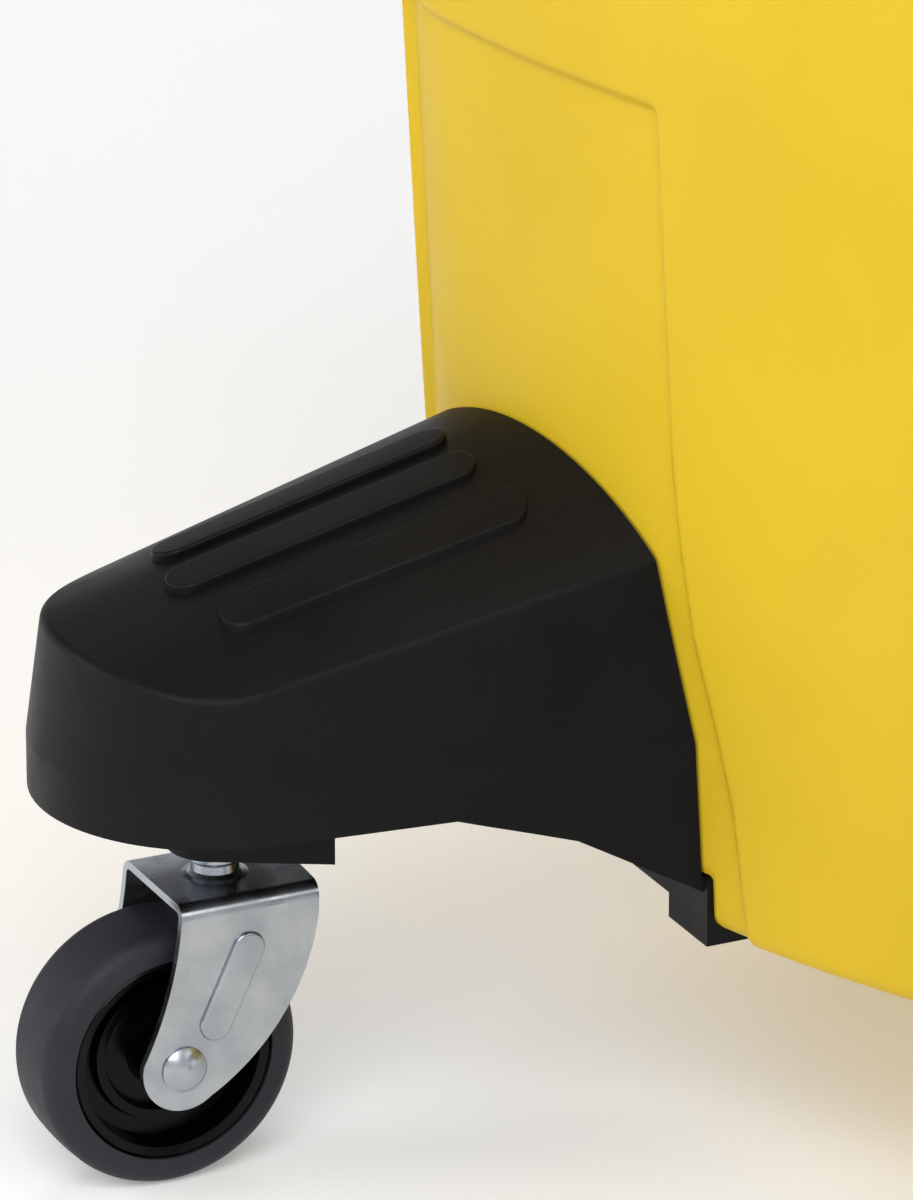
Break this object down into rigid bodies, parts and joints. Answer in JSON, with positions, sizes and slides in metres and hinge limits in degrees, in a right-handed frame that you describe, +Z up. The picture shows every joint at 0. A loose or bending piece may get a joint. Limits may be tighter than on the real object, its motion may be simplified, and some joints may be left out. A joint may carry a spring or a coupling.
{
  "type": "mop and bucket with wringer",
  "caption": "Yellow mop bucket on black outrigger legs with swivel casters, a lever-driven side-press wringer on the rim and a wet mop standing in it.",
  "frame": {"origin": "on the ground under the middle of the tub", "axes": "+Z up, +X towards the wringer end of the bucket, the pouring lip at -X"},
  "size_m": [0.6474, 0.4052, 1.434],
  "materials": {
    "yellow_plastic": "moulded, faint texture",
    "black_plastic": "moulded, fine grain",
    "gloss_black": "glossy moulded",
    "tread_rubber": "smooth moulded rubber",
    "rubber_seal": "matt",
    "grip_rubber": "matt grained",
    "zinc_steel": "bright zinc plated",
    "spring_steel": "drawn wire",
    "gear_nylon": "natural nylon",
    "fibreglass": "pultruded, satin",
    "band_mesh": "woven mesh tape",
    "cotton_yarn": "four-ply cotton yarn"
  },
  "bodies": {
    "bucket": {"bucket_tub": "yellow_plastic", "drain_gasket": "rubber_seal", "leg_screws": "zinc_steel", "front_right_leg": "black_plastic", "front_left_leg": "black_plastic", "rear_right_leg": "black_plastic", "rear_left_leg": "black_plastic", "front_right_caster_stem": "zinc_steel", "front_left_caster_stem": "zinc_steel", "rear_right_caster_stem": "zinc_steel", "rear_left_caster_stem": "zinc_steel"},
    "drain_plug": {"drain_plug": "black_plastic"},
    "wringer": {"wringer_frame": "yellow_plastic", "gear_cover": "black_plastic", "guide_cover": "black_plastic", "cover_screws": "zinc_steel", "guide_block": "gear_nylon", "shaft_bushes": "gear_nylon", "return_spring": "spring_steel"},
    "lever": {"drive_pinion": "gear_nylon", "lever_shaft": "zinc_steel", "lever_socket": "black_plastic", "lever_tube": "zinc_steel", "lever_bolts": "zinc_steel", "lever_grip": "grip_rubber"},
    "front_plate": {"front_press_plate": "yellow_plastic", "upper_rack": "gear_nylon", "front_guide_bar": "gear_nylon"},
    "rear_plate": {"rear_press_plate": "yellow_plastic", "lower_rack": "gear_nylon", "rear_guide_bar": "gear_nylon"},
    "mop": {"mop_handle": "fibreglass", "handle_cap": "grip_rubber", "clamp_body": "yellow_plastic", "clamp_gate": "zinc_steel", "clamp_screw": "zinc_steel", "headband": "band_mesh", "mop_yarn": "cotton_yarn"},
    "mop_thumb_wheel": {"thumb_wheel": "black_plastic"},
    "front_right_swivel": {"front_right_caster_fork": "zinc_steel", "front_right_caster_axle": "zinc_steel"},
    "front_right_wheel": {"front_right_wheel_hub": "gloss_black", "front_right_wheel_tread": "tread_rubber"},
    "front_left_swivel": {"front_left_caster_fork": "zinc_steel", "front_left_caster_axle": "zinc_steel"},
    "front_left_wheel": {"front_left_wheel_hub": "gloss_black", "front_left_wheel_tread": "tread_rubber"},
    "rear_right_swivel": {"rear_right_caster_fork": "zinc_steel", "rear_right_caster_axle": "zinc_steel"},
    "rear_right_wheel": {"rear_right_wheel_hub": "gloss_black", "rear_right_wheel_tread": "tread_rubber"},
    "rear_left_swivel": {"rear_left_caster_fork": "zinc_steel", "rear_left_caster_axle": "zinc_steel"},
    "rear_left_wheel": {"rear_left_wheel_hub": "gloss_black", "rear_left_wheel_tread": "tread_rubber"}
  },
  "joints": [
    {"name": "wringer_lift", "type": "slide", "parent": "bucket", "child": "wringer", "axis": [0, 0, 1], "range_m": [0, 0.18]},
    {"name": "lever_swing", "type": "hinge", "parent": "wringer", "child": "lever", "pos_m": [0.085, -0.187, 0.44612], "axis": [0, 1, 0], "range_deg": [0, 90], "stiffness_Nm_per_rad": 1.6, "springref_deg": -34.38},
    {"name": "front_plate_slide", "type": "slide", "parent": "wringer", "child": "front_plate", "axis": [1, 0, 0], "range_m": [0, 0.0393]},
    {"name": "rear_plate_slide", "type": "slide", "parent": "wringer", "child": "rear_plate", "axis": [1, 0, 0], "range_m": [-0.0393, 0]},
    {"name": "mop_lift", "type": "slide", "parent": "bucket", "child": "mop", "axis": [0, 0, 1], "range_m": [0, 0.36]},
    {"name": "thumb_wheel_turn", "type": "hinge", "parent": "mop", "child": "mop_thumb_wheel", "pos_m": [-0.112, 0.099, 0.239], "axis": [0, 1, 0], "continuous": true},
    {"name": "drain_plug_pull", "type": "slide", "parent": "bucket", "child": "drain_plug", "axis": [1, 0, 0], "range_m": [0, 0.03]},
    {"name": "front_right_swivel_turn", "type": "hinge", "parent": "bucket", "child": "front_right_swivel", "pos_m": [-0.2766, 0.1384, 0.0733], "axis": [0, 0, 1], "continuous": true},
    {"name": "front_right_wheel_roll", "type": "hinge", "parent": "front_right_swivel", "child": "front_right_wheel", "pos_m": [-0.29111, 0.14491, 0.0325], "axis": [-0.4091, -0.9125, 0], "continuous": true},
    {"name": "front_left_swivel_turn", "type": "hinge", "parent": "bucket", "child": "front_left_swivel", "pos_m": [-0.2766, -0.1384, 0.0733], "axis": [0, 0, 1], "continuous": true},
    {"name": "front_left_wheel_roll", "type": "hinge", "parent": "front_left_swivel", "child": "front_left_wheel", "pos_m": [-0.29111, -0.14491, 0.0325], "axis": [0.4091, -0.9125, 0], "continuous": true},
    {"name": "rear_right_swivel_turn", "type": "hinge", "parent": "bucket", "child": "rear_right_swivel", "pos_m": [0.2766, 0.1384, 0.0733], "axis": [0, 0, 1], "continuous": true},
    {"name": "rear_right_wheel_roll", "type": "hinge", "parent": "rear_right_swivel", "child": "rear_right_wheel", "pos_m": [0.29111, 0.14491, 0.0325], "axis": [-0.4091, 0.9125, 0], "continuous": true},
    {"name": "rear_left_swivel_turn", "type": "hinge", "parent": "bucket", "child": "rear_left_swivel", "pos_m": [0.2766, -0.1384, 0.0733], "axis": [0, 0, 1], "continuous": true},
    {"name": "rear_left_wheel_roll", "type": "hinge", "parent": "rear_left_swivel", "child": "rear_left_wheel", "pos_m": [0.29111, -0.14491, 0.0325], "axis": [0.4091, 0.9125, 0], "continuous": true}
  ],
  "couplings": [
    {"joint": "front_plate_slide", "follows": "lever_swing", "m_per_rad": 0.025},
    {"joint": "rear_plate_slide", "follows": "lever_swing", "m_per_rad": -0.025}
  ]
}
